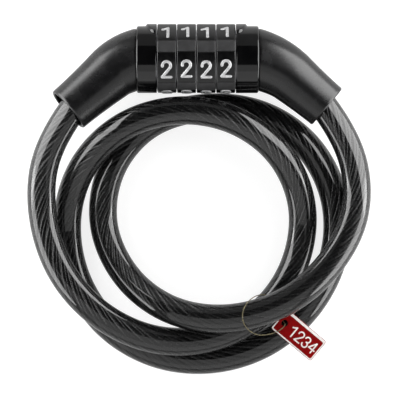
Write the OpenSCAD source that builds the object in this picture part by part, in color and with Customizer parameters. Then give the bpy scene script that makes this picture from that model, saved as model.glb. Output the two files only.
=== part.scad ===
// Combination cable lock: a four-dial head closed over the two ends of one coiled steel cable.
// Millimetres, +Z up, the lock lies flat on z = 0. The head's axis runs along X, and the coil lies on its -Y side.
// The origin is the middle of the head's outline, on the surface that it lies on.
// A turn about the head's axis is counted from straight up (0) towards +Y (90).

/* [Dials] */
// Diameter of a dial over its grip bands
dial_d = 30; // [29:0.5:32]
// Width of a dial along the head's axis
dial_w = 8; // [7.6:0.1:9]
// Gap between two dials
dial_gap = 0.3; // [0.25:0.05:0.5]
// Width of the rounded grip band between two number faces
band_w = 5.4; // [4:0.2:7]
// Turn of the number face that looks up
face_turn = -18; // [-26:1:-10]
// Chamfer on the dials' rims
dial_chamfer = 0.4; // [0.2:0.1:0.8]

/* [Code rings] */
// Wall of the metal ring inside each dial
code_ring_wall = 3.72; // [3.4:0.04:4.4]
// Length of the pocket in which a tooth stands when the lock is closed
pocket_l = 3.5; // [3:0.1:4]
// Depth of the key that turns the ring with its dial
key_h = 1; // [0.6:0.1:1.4]
// Width of that key
key_w = 2; // [1.5:0.1:3]

/* [Barrel and plug] */
// Wall of the slotted barrel
barrel_wall = 2.5; // [2.3:0.05:2.7]
// Diameter of the plug pin inside the barrel
plug_d = 8.84; // [8.4:0.02:9]
// Width of a tooth on the plug pin
tooth_w = 2.4; // [2:0.1:2.8]
// How far a tooth stands out from the barrel
tooth_h = 1.9; // [1.6:0.1:2]
// Thickness of the ring that keeps the dials on the barrel
retainer_t = 0.8; // [0.6:0.1:1]
// Thickness of a washer between the dials
washer_t = 0.2; // [0.1:0.05:0.2]
// Outer diameter of a washer
washer_d = 25; // [22:0.5:27]

/* [Detents] */
// Diameter of a detent ball
ball_d = 2; // [1.8:0.1:2.2]
// How far a ball stands out of the barrel
ball_out = 0.8; // [0.6:0.05:0.9]
// Depth of a detent notch below its groove
notch_depth = 0.45; // [0.3:0.05:0.6]

/* [Collars] */
// Diameter of the collars on both sides of the dials
collar_d = 28.4; // [27.6:0.1:28.8]
// Length of the left collar
collar_left_l = 8.5; // [8:0.1:10]
// Length of the right collar
collar_right_l = 9.6; // [9:0.1:11]
// Chamfer on the collars' rims
collar_chamfer = 0.7; // [0.3:0.1:1]
// Radius of the raised index mark on each collar
mark_r = 4.8; // [3:0.1:5.5]
// Height of the raised index mark
mark_h = 1; // [0.5:0.1:1.2]
// Turn of that mark
mark_turn = 90; // [80:1:110]

/* [Sleeves] */
// Outer diameter of a sleeve at the head
sleeve_head_d = 26.6; // [26:0.1:27.4]
// Outer diameter of a sleeve at its mouth
sleeve_mouth_d = 20; // [19:0.1:21.4]
// Wall of a sleeve
sleeve_wall = 1.4; // [1:0.1:1.8]
// Thickness of a sleeve's end wall at the head
end_wall_t = 1.8; // [1.2:0.1:2.2]
// Angle at which a sleeve leaves the head
leave_angle = 15; // [10:1:18]
// Final angle of the left sleeve and of the right one, from the head's axis
left_angle = 42; // [38:1:45]
right_angle = 40; // [37:1:44]
// Radius of the left sleeve's bend
left_bend_r = 26; // [24:1:32]
// Radius of the right sleeve's bend
right_bend_r = 36; // [30:1:40]
// Straight run of the left sleeve after its bend
left_run = 24.7; // [23:0.1:28]
// Straight run of the right sleeve after its bend
right_run = 20; // [19:0.1:24]
// How far the left sleeve is tilted up from the table
left_tilt = 14; // [8:1:18]

/* [Cable anchors] */
// Outer diameter of an anchor, the metal elbow inside a sleeve
anchor_d = 14; // [13.4:0.1:14.6]
// Length of an anchor's socket from its elbow
socket_l = 14; // [13:0.5:16]
// Depth of the bore that holds the ferrule
ferrule_l = 10.2; // [8:0.1:11]
// Diameter of a ferrule
ferrule_d = 11.3; // [10.6:0.1:11.6]
// Length of the stem that joins an anchor to the barrel or to the plug
stem_l = 6; // [5:0.1:6.4]
// Diameter of the cross pin through that stem
anchor_pin_d = 2; // [1.5:0.1:2.4]
// Diameter of the pin that holds a ferrule
ferrule_pin_d = 1.6; // [1.2:0.1:1.8]
// Thickness of the clip that holds a sleeve
clip_t = 0.8; // [0.6:0.1:0.9]
// Outer diameter of that clip
clip_d = 18; // [16.5:0.5:19]

/* [Cable] */
// Diameter of the cable over its jacket
cable_d = 12; // [11:0.1:12.2]
// Diameter of the steel strand in it
core_d = 7.2; // [6.4:0.1:7.3]

/* [Tag] */
// Length of the tag
tag_l = 22; // [20:0.2:24]
// Width of the tag
tag_w = 10.8; // [9.6:0.2:11.4]
// Thickness of the tag
tag_t = 0.8; // [0.5:0.1:1]
// Radius of the tag's corners
tag_corner_r = 1; // [0.5:0.1:2]
// Diameter of the hole in the tag
tag_hole_d = 2.8; // [2.2:0.1:3.2]
// Distance of that hole from the tag's near edge
tag_hole_in = 3.2; // [2.4:0.1:4]
// Diameter of the thread
thread_d = 0.45; // [0.3:0.05:0.5]

/* [Hidden] */
$fn = 96;

// Clearances: between pieces that turn or slide, between pieces that are fixed, and round a loose piece
running_gap = 0.08;
fixed_gap = 0.05;
free_gap = 0.3;
// How far a cut runs past the solid that it cuts
past = 1;

dial_count = 4;
faces = 5;
face_step = 360 / faces;
pitch = dial_w + dial_gap;
dials_half = (dial_count * pitch + dial_gap) / 2;
dial_at = [for (i = [0 : dial_count - 1]) (i - (dial_count - 1) / 2) * pitch];
half_band = asin(band_w / dial_d);
face_apothem = dial_d / 2 * cos(face_step / 2 - half_band);
// the row of teeth, which the gates meet when the lock opens
index_turn = face_turn + 7 / 4 * face_step;
ball_turn = index_turn + 180;
// The dials touch the table with the edge of the grip band that is nearest to straight down
lowest_band = (180 - face_turn - face_step / 2) % face_step;
axis_z = dial_d / 2 * cos(max(0, min(lowest_band, face_step - lowest_band) - half_band));

barrel_d = plug_d + 2 * (running_gap + barrel_wall);
tooth_r = barrel_d / 2 + tooth_h;
tooth_l = pocket_l - 2 * free_gap;
gate_w = tooth_w + 2 * free_gap;
pocket_r = tooth_r + free_gap;
gate_r = pocket_r + 0.2;
land_r = barrel_d / 2 + running_gap;
code_ring_d = 2 * (land_r + code_ring_wall);
key_r = code_ring_d / 2 + key_h;
bore_r = plug_d / 2 + running_gap;
tip_x = dial_at[0] - dial_w / 2 - 0.9;
bore_end_x = tip_x - 0.4;
retainer_x = dials_half;
groove_depth = 0.6;
barrel_end_x = retainer_x + retainer_t + 0.75;
recess_end_x = barrel_end_x + 1.1;
plug_flange_d = barrel_d;

// Along the dial, the land is on the plug's way out, and the ball's groove runs round its middle
land_x = dial_w / 2 - (dial_w - pocket_l) / 2;
groove_w = ball_d + 0.4;
groove_r = barrel_d / 2 + ball_out + 0.15;
ball_r_at = barrel_d / 2 + ball_out - ball_d / 2;
ball_hole_d = ball_d + 2 * fixed_gap;
ball_hole_floor = bore_r + 0.45;

left_face = dials_half + collar_left_l;
right_face = dials_half + collar_right_l;

// Each side's sleeve: [face, bend radius, straight run, final angle, tilt, sign of X]
LEFT = [left_face, left_bend_r, left_run, left_angle, left_tilt, -1];
RIGHT = [right_face, right_bend_r, right_run, right_angle, 0, 1];
function arc_l(s) = s[1] * (s[3] - leave_angle) * PI / 180;
function sleeve_l(s) = arc_l(s) + s[2];
function slope(s, q) = q < arc_l(s) ? leave_angle + q / s[1] * 180 / PI : s[3];
// Point of a sleeve's middle line at the length q: along X from the face, and down from the axis
function middle(s, q) =
    let (a = slope(s, q), straight = max(0, q - arc_l(s)))
    [s[1] * (sin(a) - sin(leave_angle)) + straight * cos(a),
     -s[1] * (cos(leave_angle) - cos(a)) - straight * sin(a), 0];
// A sleeve narrows fast at the head and slowly at the mouth
taper_power = 1.6;
function sleeve_r(s, q) = sleeve_mouth_d / 2
    + (sleeve_head_d - sleeve_mouth_d) / 2 * pow(1 - q / sleeve_l(s), taper_power);
// The rings stand square to X at the head and square to the run from the end of the bend
function ring_slope(s, q) = s[3] * min(1, q / arc_l(s));

// The run's line meets the head's axis at the elbow, and the mouth is mouth_l further on
function mouth(s) = middle(s, sleeve_l(s));
function elbow_x(s) = mouth(s)[0] + mouth(s)[1] / tan(s[3]);
function mouth_l(s) = -mouth(s)[1] / sin(s[3]);

// From a side's own frame to the head's frame
function tilted(p, a) = [p[0], p[1] * cos(a) + p[2] * sin(a), p[2] * cos(a) - p[1] * sin(a)];
function to_head(s, p) = let (t = tilted(p, s[4])) [s[5] * (s[0] + t[0]), t[1], axis_z + t[2]];
function run_point(s, l) = to_head(s, [elbow_x(s) + l * cos(s[3]), -l * sin(s[3]), 0]);

// The head's outline, from which the origin is worked out
function rim_reach(s, way) =
    let (d = run_point(s, 1) - run_point(s, 0)) sleeve_mouth_d / 2 * sqrt(1 - pow(d[way], 2));
left_mouth = run_point(LEFT, mouth_l(LEFT));
right_mouth = run_point(RIGHT, mouth_l(RIGHT));
head_x = -(left_mouth[0] - rim_reach(LEFT, 0) + right_mouth[0] + rim_reach(RIGHT, 0)) / 2;
head_low_y = min(left_mouth[1] - rim_reach(LEFT, 1), right_mouth[1] - rim_reach(RIGHT, 1));
head_y = -(head_low_y + dial_d / 2) / 2;

// Route of the cable between the sleeves, in the head's frame: two and three quarter turns.
// The strands that lie on the table are pressed flat there by the part that is under z = 0.
low = 5.4;
CABLE_POINTS = [
    [-64, -43, 17.5], [-65, -67.5, 16.5], [-56.5, -91, 18.5], [-39.5, -109, 19], [-16.5, -119, 17.5],
    [7.5, -118, 14.2], [28.5, -107, 11], [42, -87.5, 7.5], [45.5, -63, 8], [36, -40.5, 13.5],
    [17, -26, 17.5], [-7, -21.5, 18.5], [-30.5, -28, 17.5], [-48, -44.5, 12.5], [-55.5, -67.5, low],
    [-52, -92, low], [-39, -112.5, low], [-17.5, -125.5, low], [7, -128, low], [30.5, -120.5, low],
    [49, -104, low], [59.5, -81.5, low], [59, -57.5, low], [47.5, -36, low], [27, -22.5, low],
    [2, -20, low], [-21, -27.5, low], [-36.5, -46, low], [-40, -70, low], [-30, -92, 11],
    [-11, -106, 19.5], [12.5, -109.5, 25], [36.5, -103, 24.5], [55.5, -87.5, 21.5], [67, -66.5, 17],
    [66.5, -42.5, 15]];
// The jacket starts at the anchor's socket and runs straight for more than its own diameter
jacket_start = socket_l + 0.1;
straight_end = socket_l + 13;
core_start = socket_l - ferrule_l;
CABLE_ROUTE = concat(
    [run_point(LEFT, jacket_start), run_point(LEFT, straight_end)],
    CABLE_POINTS,
    [run_point(RIGHT, straight_end), run_point(RIGHT, jacket_start)]);
// The whole cable from a start in each socket
function cable_path(start, steps) =
    concat([run_point(LEFT, start)], smooth(CABLE_ROUTE, steps), [run_point(RIGHT, start)]);

// Route of the thread, a closed loop: up through the tag's hole, over the top strand and back under it
THREAD_POINTS = [
    [37.6, -112.2, 13.3], [37.2, -113.2, 14.9], [34.5, -115.1, 17.6], [29.8, -116.2, 22],
    [25.6, -116, 26], [22, -114, 29.6], [19.6, -110.5, 31.8], [19.3, -106.5, 32], [20.8, -103, 30.5],
    [23.6, -100.5, 27.4], [27.2, -99.4, 23], [30.8, -100.4, 19], [33.6, -103, 17], [34.9, -106.3, 15.3],
    [35.5, -108.9, 12.5], [36.8, -111, 12.1]];
TAG_HOLE = [37.5, -111.9];
tag_turn = -40;
tag_z = 12.9;

// Smooth curve through a list of points, whose speed follows the root of each step
function knot(a, b) = sqrt(norm(b - a));
function leaving(a, b, c) =
    let (u = knot(a, b), v = knot(b, c)) (b - a) / u - (c - a) / (u + v) + (c - b) / v;
function on_span(a, b, c, d, f) =
    let (v = knot(b, c), m = v * leaving(a, b, c), n = v * leaving(b, c, d),
         e = 1 - f)
    b * (1 + 2 * f) * e * e + m * f * e * e + c * f * f * (3 - 2 * f) - n * f * f * e;
// The first and the last point only steer the curve, which runs between the others
function smooth(p, steps) =
    concat([for (i = [1 : len(p) - 3], k = [0 : steps - 1])
        on_span(p[i - 1], p[i], p[i + 1], p[i + 2], k / steps)], [p[len(p) - 2]]);
function looped(p, steps) =
    let (n = len(p))
    [for (i = [0 : n - 1], k = [0 : steps - 1])
        on_span(p[(i + n - 1) % n], p[i], p[(i + 1) % n], p[(i + 2) % n], k / steps)];

// Ring square to a path, with one corner as far down as it goes
function unit(v) = v / norm(v);
function heading(path, i) = unit(path[min(i + 1, len(path) - 1)] - path[max(i - 1, 0)]);
function ring_at(path, i, r, sides, t, up = [0, 0, 1]) =
    let (s = unit(cross(t, up)), u = cross(s, t))
    [for (k = [0 : sides - 1]) path[i] - r * (cos(360 * k / sides) * u + sin(360 * k / sides) * s)];
function band(first, second, sides) =
    [for (k = [0 : sides - 1], f = [0, 1])
        let (m = (k + 1) % sides)
        f == 0 ? [first + k, second + k, second + m] : [first + k, second + m, first + m]];
function fan(first, sides, up) =
    [for (k = [1 : sides - 2]) up ? [first, first + k, first + k + 1] : [first, first + k + 1, first + k]];
module swept_rod(path, d, sides) {
    points = [for (i = [0 : len(path) - 1]) each ring_at(path, i, d / 2, sides, heading(path, i))];
    walls = [for (i = [0 : len(path) - 2]) each band(i * sides, (i + 1) * sides, sides)];
    ends = concat(fan(0, sides, true), fan((len(path) - 1) * sides, sides, false));
    polyhedron(points, concat(walls, ends), convexity = 10);
}
// Closed skin through rings, whose last one joins the first
module ring_skin(rings, sides) {
    n = len(rings);
    faces_of = [for (i = [0 : n - 1]) each band(i * sides, (i + 1) % n * sides, sides)];
    polyhedron([for (r = rings) each r], faces_of, convexity = 10);
}

cable_sides = 6;
thread_sides = 6;
jacket_path = cable_path(jacket_start, 2);
core_path = cable_path(core_start, 2);
thread_path = looped(THREAD_POINTS, 2);
// The thread's loop leans over; this is square to its plane
thread_up = [1, 0, 1];
jacket_bore_d = (core_d + 2 * free_gap) / cos(180 / cable_sides);

// Least gap of the wound tube to itself: points closer than two diameters along it are neighbours
gap_step = 4;
fine_path = cable_path(jacket_start, gap_step * 2);
along = [for (i = 0, l = 0; i < len(fine_path);
    l = l + (i < len(fine_path) - 1 ? norm(fine_path[i + 1] - fine_path[i]) : 0), i = i + 1) l];
far_off = 3 * cable_d;
least_gap = min([for (i = [0 : len(fine_path) - 1]) each
    [for (j = [i + 1 : 1 : len(fine_path) - 1])
        if (along[j] - along[i] > far_off) norm(fine_path[j] - fine_path[i])]]) - cable_d;
echo(cable_length_between_anchors = along[len(along) - 1], least_gap_of_the_coil = least_gap);

module at_head() {
    translate([head_x, head_y, 0]) children();
}
module on_axis() {
    translate([head_x, head_y, axis_z]) children();
}
module turn(a) {
    rotate([-a, 0, 0]) children();
}
module rod(d, from, to) {
    translate([from, 0, 0]) rotate([0, 90, 0]) cylinder(d = d, h = to - from);
}
// Solid turned about the head's axis from a profile of [radius, place along X]
module turned(profile) {
    rotate([0, 90, 0]) rotate_extrude() polygon(profile);
}
module hoop(outer_d, inner_d, from, to) {
    turned([[inner_d / 2, from], [outer_d / 2, from], [outer_d / 2, to], [inner_d / 2, to]]);
}
// Ring with both outer rims chamfered
module rimmed(outer_d, inner_d, from, to, chamfer) {
    turned([[inner_d / 2, from], [outer_d / 2 - chamfer, from], [outer_d / 2, from + chamfer],
        [outer_d / 2, to - chamfer], [outer_d / 2 - chamfer, to], [inner_d / 2, to]]);
}
// Block that stands out from the axis along the turn of the slot, from one radius to another
module spoke(width, from, to, r_in, r_out) {
    translate([from, -width / 2, r_in]) cube([to - from, width, r_out - r_in]);
}
// A side's own frame, with its face at x = 0 and its sleeve bending towards -Y
module side(s) {
    on_axis() mirror([s[5] < 0 ? 1 : 0, 0, 0]) translate([s[0], 0, 0]) rotate([-s[4], 0, 0]) children();
}
// The frame of a side's socket: X runs along it from the elbow
module socket_frame(s) {
    translate([elbow_x(s), 0, 0]) rotate([0, 0, -s[3]]) children();
}

module dial_body() {
    difference() {
        intersection() {
            rimmed(dial_d, code_ring_d + 2 * fixed_gap, -dial_w / 2, dial_w / 2, dial_chamfer);
            turn(face_turn) rotate([0, 90, 0]) rotate([0, 0, 180 + face_step / 2])
                cylinder(r = face_apothem / cos(face_step / 2), h = dial_w + 2 * past, center = true, $fn = faces);
        }
        turn(index_turn + 90)
            spoke(key_w + 2 * fixed_gap, -dial_w / 2 - past, dial_w / 2 + past, 0, key_r + fixed_gap);
    }
}
module dial(i) {
    color([0.07, 0.07, 0.075]) on_axis() translate([dial_at[i], 0, 0]) dial_body();
}

module code_ring_body() {
    half = dial_w / 2;
    pocket_end = -half + pocket_l;
    difference() {
        union() {
            hoop(code_ring_d, 2 * land_r, -half, half);
            turn(index_turn + 90) spoke(key_w, -half, half, key_r - 1.5 * key_h, key_r);
        }
        rod(2 * pocket_r, -half - past, pocket_end);
        rod(2 * groove_r, land_x - groove_w / 2, land_x + groove_w / 2);
        turn(index_turn) spoke(gate_w, -half - past, half + past, 0, gate_r);
        for (k = [0 : faces - 1])
            turn(ball_turn + k * face_step) translate([land_x, 0, land_r])
                rotate([0, 0, 45]) cylinder(d = ball_d * 0.9, h = groove_r + notch_depth - land_r);
    }
}
module code_ring(i) {
    color([0.75, 0.75, 0.77]) on_axis() translate([dial_at[i], 0, 0]) code_ring_body();
}

module lock_barrel() {
    color([0.7, 0.7, 0.72]) on_axis() difference() {
        rod(barrel_d, -left_face, barrel_end_x);
        rod(2 * bore_r, bore_end_x, barrel_end_x + past);
        rod(2 * bore_r, -left_face - past, -left_face + stem_l + free_gap);
        turn(index_turn) spoke(gate_w, dial_at[0] - dial_w / 2 - past / 4, barrel_end_x + past, 0, barrel_d);
        hoop(barrel_d + past, barrel_d - 2 * groove_depth,
            retainer_x - fixed_gap, retainer_x + retainer_t + fixed_gap);
        for (x = dial_at)
            turn(ball_turn) translate([x + land_x, 0, ball_hole_floor]) cylinder(d = ball_hole_d, h = barrel_d);
        translate([-left_face + stem_l / 2, 0, 0])
            cylinder(d = anchor_pin_d + 2 * fixed_gap, h = barrel_d + 2 * past, center = true);
    }
}
module detent_balls() {
    color([0.85, 0.85, 0.86]) on_axis() for (x = dial_at)
        turn(ball_turn) translate([x + land_x, 0, ball_r_at]) sphere(d = ball_d);
}
module detent_springs() {
    spring_l = ball_r_at - ball_d / 2 - ball_hole_floor - fixed_gap;
    color([0.6, 0.6, 0.62]) on_axis() for (x = dial_at)
        turn(ball_turn) translate([x + land_x, 0, ball_hole_floor]) difference() {
            cylinder(d = ball_d * 0.85, h = spring_l);
            translate([0, 0, -past]) cylinder(d = ball_d * 0.55, h = spring_l + 2 * past);
        }
}
module dial_washers() {
    color([0.3, 0.3, 0.31]) on_axis() for (k = [0 : dial_count])
        translate([-dials_half + dial_gap / 2 + k * pitch, 0, 0]) difference() {
            hoop(washer_d, 2 * land_r, -washer_t / 2, washer_t / 2);
            turn(index_turn) spoke(gate_w, -past, past, 0, pocket_r);
        }
}
module dial_retainer() {
    color([0.55, 0.55, 0.57]) on_axis() difference() {
        hoop(2 * tooth_r - 2 * free_gap, barrel_d - 2 * groove_depth + 2 * fixed_gap,
            retainer_x, retainer_x + retainer_t);
        turn(index_turn) spoke(gate_w, 0, right_face, 0, barrel_d);
    }
}

// Half-round mark on a collar's rim, at the side where the dials are
module index_mark(rim, way) {
    turn(mark_turn) intersection() {
        hoop(collar_d + 2 * mark_h, collar_d - 2 * collar_chamfer, rim - (way < 0 ? mark_r : 0), rim + (way < 0 ? 0 : mark_r));
        translate([rim, 0, 0]) cylinder(r = mark_r, h = collar_d);
    }
}
module collar_left() {
    color([0.03, 0.03, 0.032]) on_axis() {
        rimmed(collar_d, barrel_d + 2 * fixed_gap, -left_face, -dials_half, collar_chamfer);
        index_mark(-dials_half, -1);
    }
}
module collar_right() {
    color([0.03, 0.03, 0.032]) on_axis() {
        difference() {
            rimmed(collar_d, plug_flange_d + 2 * fixed_gap, dials_half, right_face, collar_chamfer);
            rod(2 * pocket_r, dials_half - past, recess_end_x);
        }
        index_mark(dials_half, 1);
    }
}
module plug_pin() {
    color([0.78, 0.78, 0.8]) on_axis() difference() {
        union() {
            turned([[0, tip_x], [plug_d / 2 - 0.8, tip_x], [plug_d / 2, tip_x + 0.8],
                [plug_d / 2, recess_end_x + past], [0, recess_end_x + past]]);
            rod(plug_flange_d, recess_end_x, right_face);
            for (x = dial_at)
                turn(index_turn) spoke(tooth_w, x - dial_w / 2 + free_gap, x - dial_w / 2 + free_gap + tooth_l,
                    plug_d / 4, tooth_r);
        }
        rod(2 * bore_r, right_face - stem_l - free_gap, right_face + past);
        translate([right_face - stem_l / 2, 0, 0])
            cylinder(d = anchor_pin_d + 2 * fixed_gap, h = plug_flange_d + 2 * past, center = true);
    }
}

// Elbow that carries one end of the cable: a stem for the head, and a socket along the sleeve's run
elbow_bulge = 0.3;
// Least step where the socket begins, beyond the elbow's own outline
elbow_step = 0.35;
// Where the socket may begin: past the clip's groove, and past the place where its inner side leaves the elbow
function elbow_cut(s) = max(end_wall_t + clip_t + 3 * fixed_gap,
    elbow_x(s) - anchor_d / 2 * (sin(s[3]) - (1 - cos(s[3])) / tan(s[3])) + elbow_step);
module anchor(s) {
    color([0.62, 0.62, 0.64]) side(s) difference() {
        union() {
            rod(plug_d, -stem_l, past);
            rod(anchor_d, 0, elbow_x(s));
            intersection() {
                socket_frame(s) {
                    // a ball whose poles lie along the socket, inside the metal
                    rotate([0, 90, 0]) sphere(d = anchor_d + 2 * elbow_bulge);
                    rod(anchor_d, 0, socket_l);
                }
                translate([elbow_cut(s), -2 * anchor_d, -anchor_d])
                    cube([3 * anchor_d, 3 * anchor_d, 2 * anchor_d]);
            }
        }
        hoop(anchor_d + past, anchor_d - 2 * groove_depth, end_wall_t, end_wall_t + clip_t + 2 * fixed_gap);
        socket_frame(s) {
            rod(ferrule_d + 2 * fixed_gap, socket_l - ferrule_l - free_gap, socket_l + past);
            translate([socket_l - ferrule_l / 2, ferrule_d / 2, 0])
                cylinder(d = ferrule_pin_d + 2 * fixed_gap, h = anchor_d + 2 * past, center = true);
        }
        rotate([s[4], 0, 0]) translate([-stem_l / 2, 0, 0])
            cylinder(d = anchor_pin_d + 2 * fixed_gap, h = anchor_d, center = true);
    }
}
module anchor_pin(s) {
    color([0.8, 0.8, 0.82]) on_axis() translate([s[5] * (s[0] - stem_l / 2), 0, 0])
        cylinder(d = anchor_pin_d, h = barrel_d - 2 * fixed_gap, center = true);
}
module ferrule(s) {
    color([0.72, 0.7, 0.66]) side(s) socket_frame(s) difference() {
        hoop(ferrule_d, core_d + 2 * free_gap, socket_l - ferrule_l, socket_l);
        translate([socket_l - ferrule_l / 2, ferrule_d / 2, 0])
            cylinder(d = ferrule_pin_d + 2 * fixed_gap, h = anchor_d, center = true);
    }
}
module ferrule_pin(s) {
    // the pin ends level with the anchor's outside
    half_l = sqrt(pow(anchor_d / 2, 2) - pow(ferrule_d / 2 + ferrule_pin_d / 2, 2));
    color([0.8, 0.8, 0.82]) side(s) socket_frame(s) translate([socket_l - ferrule_l / 2, ferrule_d / 2, 0])
        cylinder(d = ferrule_pin_d, h = 2 * half_l, center = true);
}
module sleeve_clip(s) {
    opening = anchor_d / 3;
    color([0.5, 0.5, 0.52]) side(s) difference() {
        hoop(clip_d, anchor_d - 2 * groove_depth + 2 * fixed_gap,
            end_wall_t + fixed_gap, end_wall_t + fixed_gap + clip_t);
        translate([0, -opening / 2, 0]) cube([clip_d, opening, clip_d]);
    }
}

// Bent shell: rings go down the outside from the head to the mouth, and come back inside to the end wall
sleeve_sides = 40;
sleeve_rings = 13;
function sleeve_ring(s, q, r) =
    let (c = middle(s, q), b = ring_slope(s, q))
    [for (k = [0 : sleeve_sides - 1])
        let (a = 360 * k / sleeve_sides) c + r * (cos(a) * [sin(b), cos(b), 0] + sin(a) * [0, 0, 1])];
function flat_ring(x, r) =
    [for (k = [0 : sleeve_sides - 1])
        let (a = 360 * k / sleeve_sides) [x, r * cos(a), r * sin(a)]];
module sleeve(s) {
    steps = [for (k = [0 : sleeve_rings - 1]) k / (sleeve_rings - 1) * sleeve_l(s)];
    inside = [for (k = [sleeve_rings - 1 : -1 : 2]) steps[k]];
    // straight hole through the end wall for the anchor, clear of it by its facets too
    hole_r = (anchor_d / 2 + fixed_gap) / cos(180 / sleeve_sides);
    rings = concat(
        [for (q = steps) sleeve_ring(s, q, sleeve_r(s, q))],
        [for (q = inside) sleeve_ring(s, q, sleeve_r(s, q) - sleeve_wall)],
        [flat_ring(end_wall_t, sleeve_head_d / 2 - sleeve_wall - 0.5), flat_ring(end_wall_t, hole_r), flat_ring(0, hole_r)]);
    color([0.1, 0.1, 0.105]) side(s) ring_skin(rings, sleeve_sides);
}

module above_table() {
    intersection() {
        children();
        translate([-10 * dial_d, -10 * dial_d, 0]) cube([20 * dial_d, 20 * dial_d, 10 * dial_d]);
    }
}
module cable_jacket() {
    // the jacket's rings: down the outside, and back along the bore
    last = len(jacket_path) - 1;
    outside = [for (i = [0 : last])
        ring_at(jacket_path, i, cable_d / 2, cable_sides, heading(jacket_path, i))];
    bore = [for (i = [last : -1 : 0])
        ring_at(jacket_path, i, jacket_bore_d / 2, cable_sides, heading(jacket_path, i))];
    color([0.16, 0.16, 0.17]) above_table() at_head() ring_skin(concat(outside, bore), cable_sides);
}
module cable_core() {
    color([0.05, 0.05, 0.05]) at_head() swept_rod(core_path, core_d, cable_sides);
}
module tag_thread() {
    n = len(thread_path);
    rings = [for (i = [0 : n - 1])
        let (t = unit(thread_path[(i + 1) % n] - thread_path[(i + n - 1) % n]))
        ring_at(thread_path, i, thread_d / 2, thread_sides, t, thread_up)];
    color([0.3, 0.28, 0.2]) at_head() ring_skin(rings, thread_sides);
}
module tag_plate() {
    in = tag_w / 2 - tag_corner_r;
    color([0.55, 0.02, 0.03]) at_head() translate([TAG_HOLE[0], TAG_HOLE[1], tag_z]) rotate([0, 0, tag_turn])
        difference() {
            union() {
                translate([-tag_hole_in, -in, 0]) cube([tag_l, 2 * in, tag_t]);
                translate([-tag_hole_in + tag_corner_r, -tag_w / 2, 0])
                    cube([tag_l - 2 * tag_corner_r, tag_w, tag_t]);
                for (x = [tag_corner_r, tag_l - tag_corner_r], y = [-in, in])
                    translate([x - tag_hole_in, y, 0]) cylinder(r = tag_corner_r, h = tag_t);
            }
            translate([0, 0, -past]) cylinder(d = tag_hole_d, h = tag_t + 2 * past);
        }
}

lock_barrel();
collar_left();
anchor(LEFT);  // anchor_left
anchor_pin(LEFT);  // anchor_pin_left
ferrule(LEFT);  // ferrule_left
ferrule_pin(LEFT);  // ferrule_pin_left
sleeve(LEFT);  // sleeve_left
sleeve_clip(LEFT);  // sleeve_clip_left
dial_washers();
dial_retainer();
detent_balls();
detent_springs();
dial(0);  // dial_1
dial(1);  // dial_2
dial(2);  // dial_3
dial(3);  // dial_4
code_ring(0);  // code_ring_1
code_ring(1);  // code_ring_2
code_ring(2);  // code_ring_3
code_ring(3);  // code_ring_4
plug_pin();
collar_right();
anchor(RIGHT);  // anchor_right
anchor_pin(RIGHT);  // anchor_pin_right
ferrule(RIGHT);  // ferrule_right
ferrule_pin(RIGHT);  // ferrule_pin_right
sleeve(RIGHT);  // sleeve_right
sleeve_clip(RIGHT);  // sleeve_clip_right
cable_jacket();
cable_core();
tag_thread();
tag_plate();
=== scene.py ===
"""Dressed model of the combination cable lock: the head with its four number dials, the coiled cable in its
clear jacket, and the number tag on its thread. Lengths in the tables below are millimetres."""
import math

import bpy
import numpy as np
from mathutils import Matrix


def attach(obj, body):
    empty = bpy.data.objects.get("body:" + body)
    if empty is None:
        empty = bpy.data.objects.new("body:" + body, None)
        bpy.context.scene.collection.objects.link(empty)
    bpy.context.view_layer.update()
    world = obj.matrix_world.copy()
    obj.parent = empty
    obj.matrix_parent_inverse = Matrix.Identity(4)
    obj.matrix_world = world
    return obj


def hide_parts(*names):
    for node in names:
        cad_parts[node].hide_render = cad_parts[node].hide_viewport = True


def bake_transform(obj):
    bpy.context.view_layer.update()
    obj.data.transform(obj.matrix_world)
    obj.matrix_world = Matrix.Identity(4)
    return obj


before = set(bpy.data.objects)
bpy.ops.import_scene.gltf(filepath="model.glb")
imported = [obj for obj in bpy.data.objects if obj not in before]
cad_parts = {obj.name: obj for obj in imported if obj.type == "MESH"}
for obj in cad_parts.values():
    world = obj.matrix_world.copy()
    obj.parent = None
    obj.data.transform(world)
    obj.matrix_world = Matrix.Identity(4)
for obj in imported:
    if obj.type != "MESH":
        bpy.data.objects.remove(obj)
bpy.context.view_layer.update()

MM = 0.001
HEAD = np.array([-0.478275, 7.13127, 0.0])      # from the head's own frame to the shared one
AXIS_Z = 14.8672                                # height of the head's axis
LEFT_FACE, RIGHT_FACE = 25.25, 26.35            # from the head's middle to the collars' far faces
DIALS_HALF = 16.75                              # and to their faces at the dials
COLLAR_R, BORE_R = 14.2, 7.1
RECESS_R, RECESS_END = 9.2, 19.4                # hollow in the right collar, which takes the dials' retainer
DIAL_AT, DIAL_W, DIAL_R, DIAL_BORE_R = (-12.45, -4.15, 4.15, 12.45), 8.0, 15.0, 11.95
CABLE_R, LAY = 6.0, 75.0                        # the strand turns once in each LAY of cable
JACKET_COLUMNS, STRAND_COLUMNS, WIRES = 40, 132, 22


# ---------------------------------------------------------------- camera and light

CAMERA_AT, CAMERA_LENS, SENSOR = (1.06, -52.44, 906.0), 189.03, 36.0


def make_camera():
    """Looks straight down from 0.9 m above the middle of the strands that lie on the table."""
    data = bpy.data.cameras.new("camera")
    data.sensor_width = SENSOR
    data.lens = CAMERA_LENS
    data.clip_start, data.clip_end = 0.05, 20.0
    camera = bpy.data.objects.new("camera", data)
    camera.location = [c * MM for c in CAMERA_AT]
    bpy.context.scene.collection.objects.link(camera)
    bpy.context.scene.camera = camera


COIL_MIDDLE = np.array([0.0, -55.0, 10.0])
ROOM_LIGHT = 0.02


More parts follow.
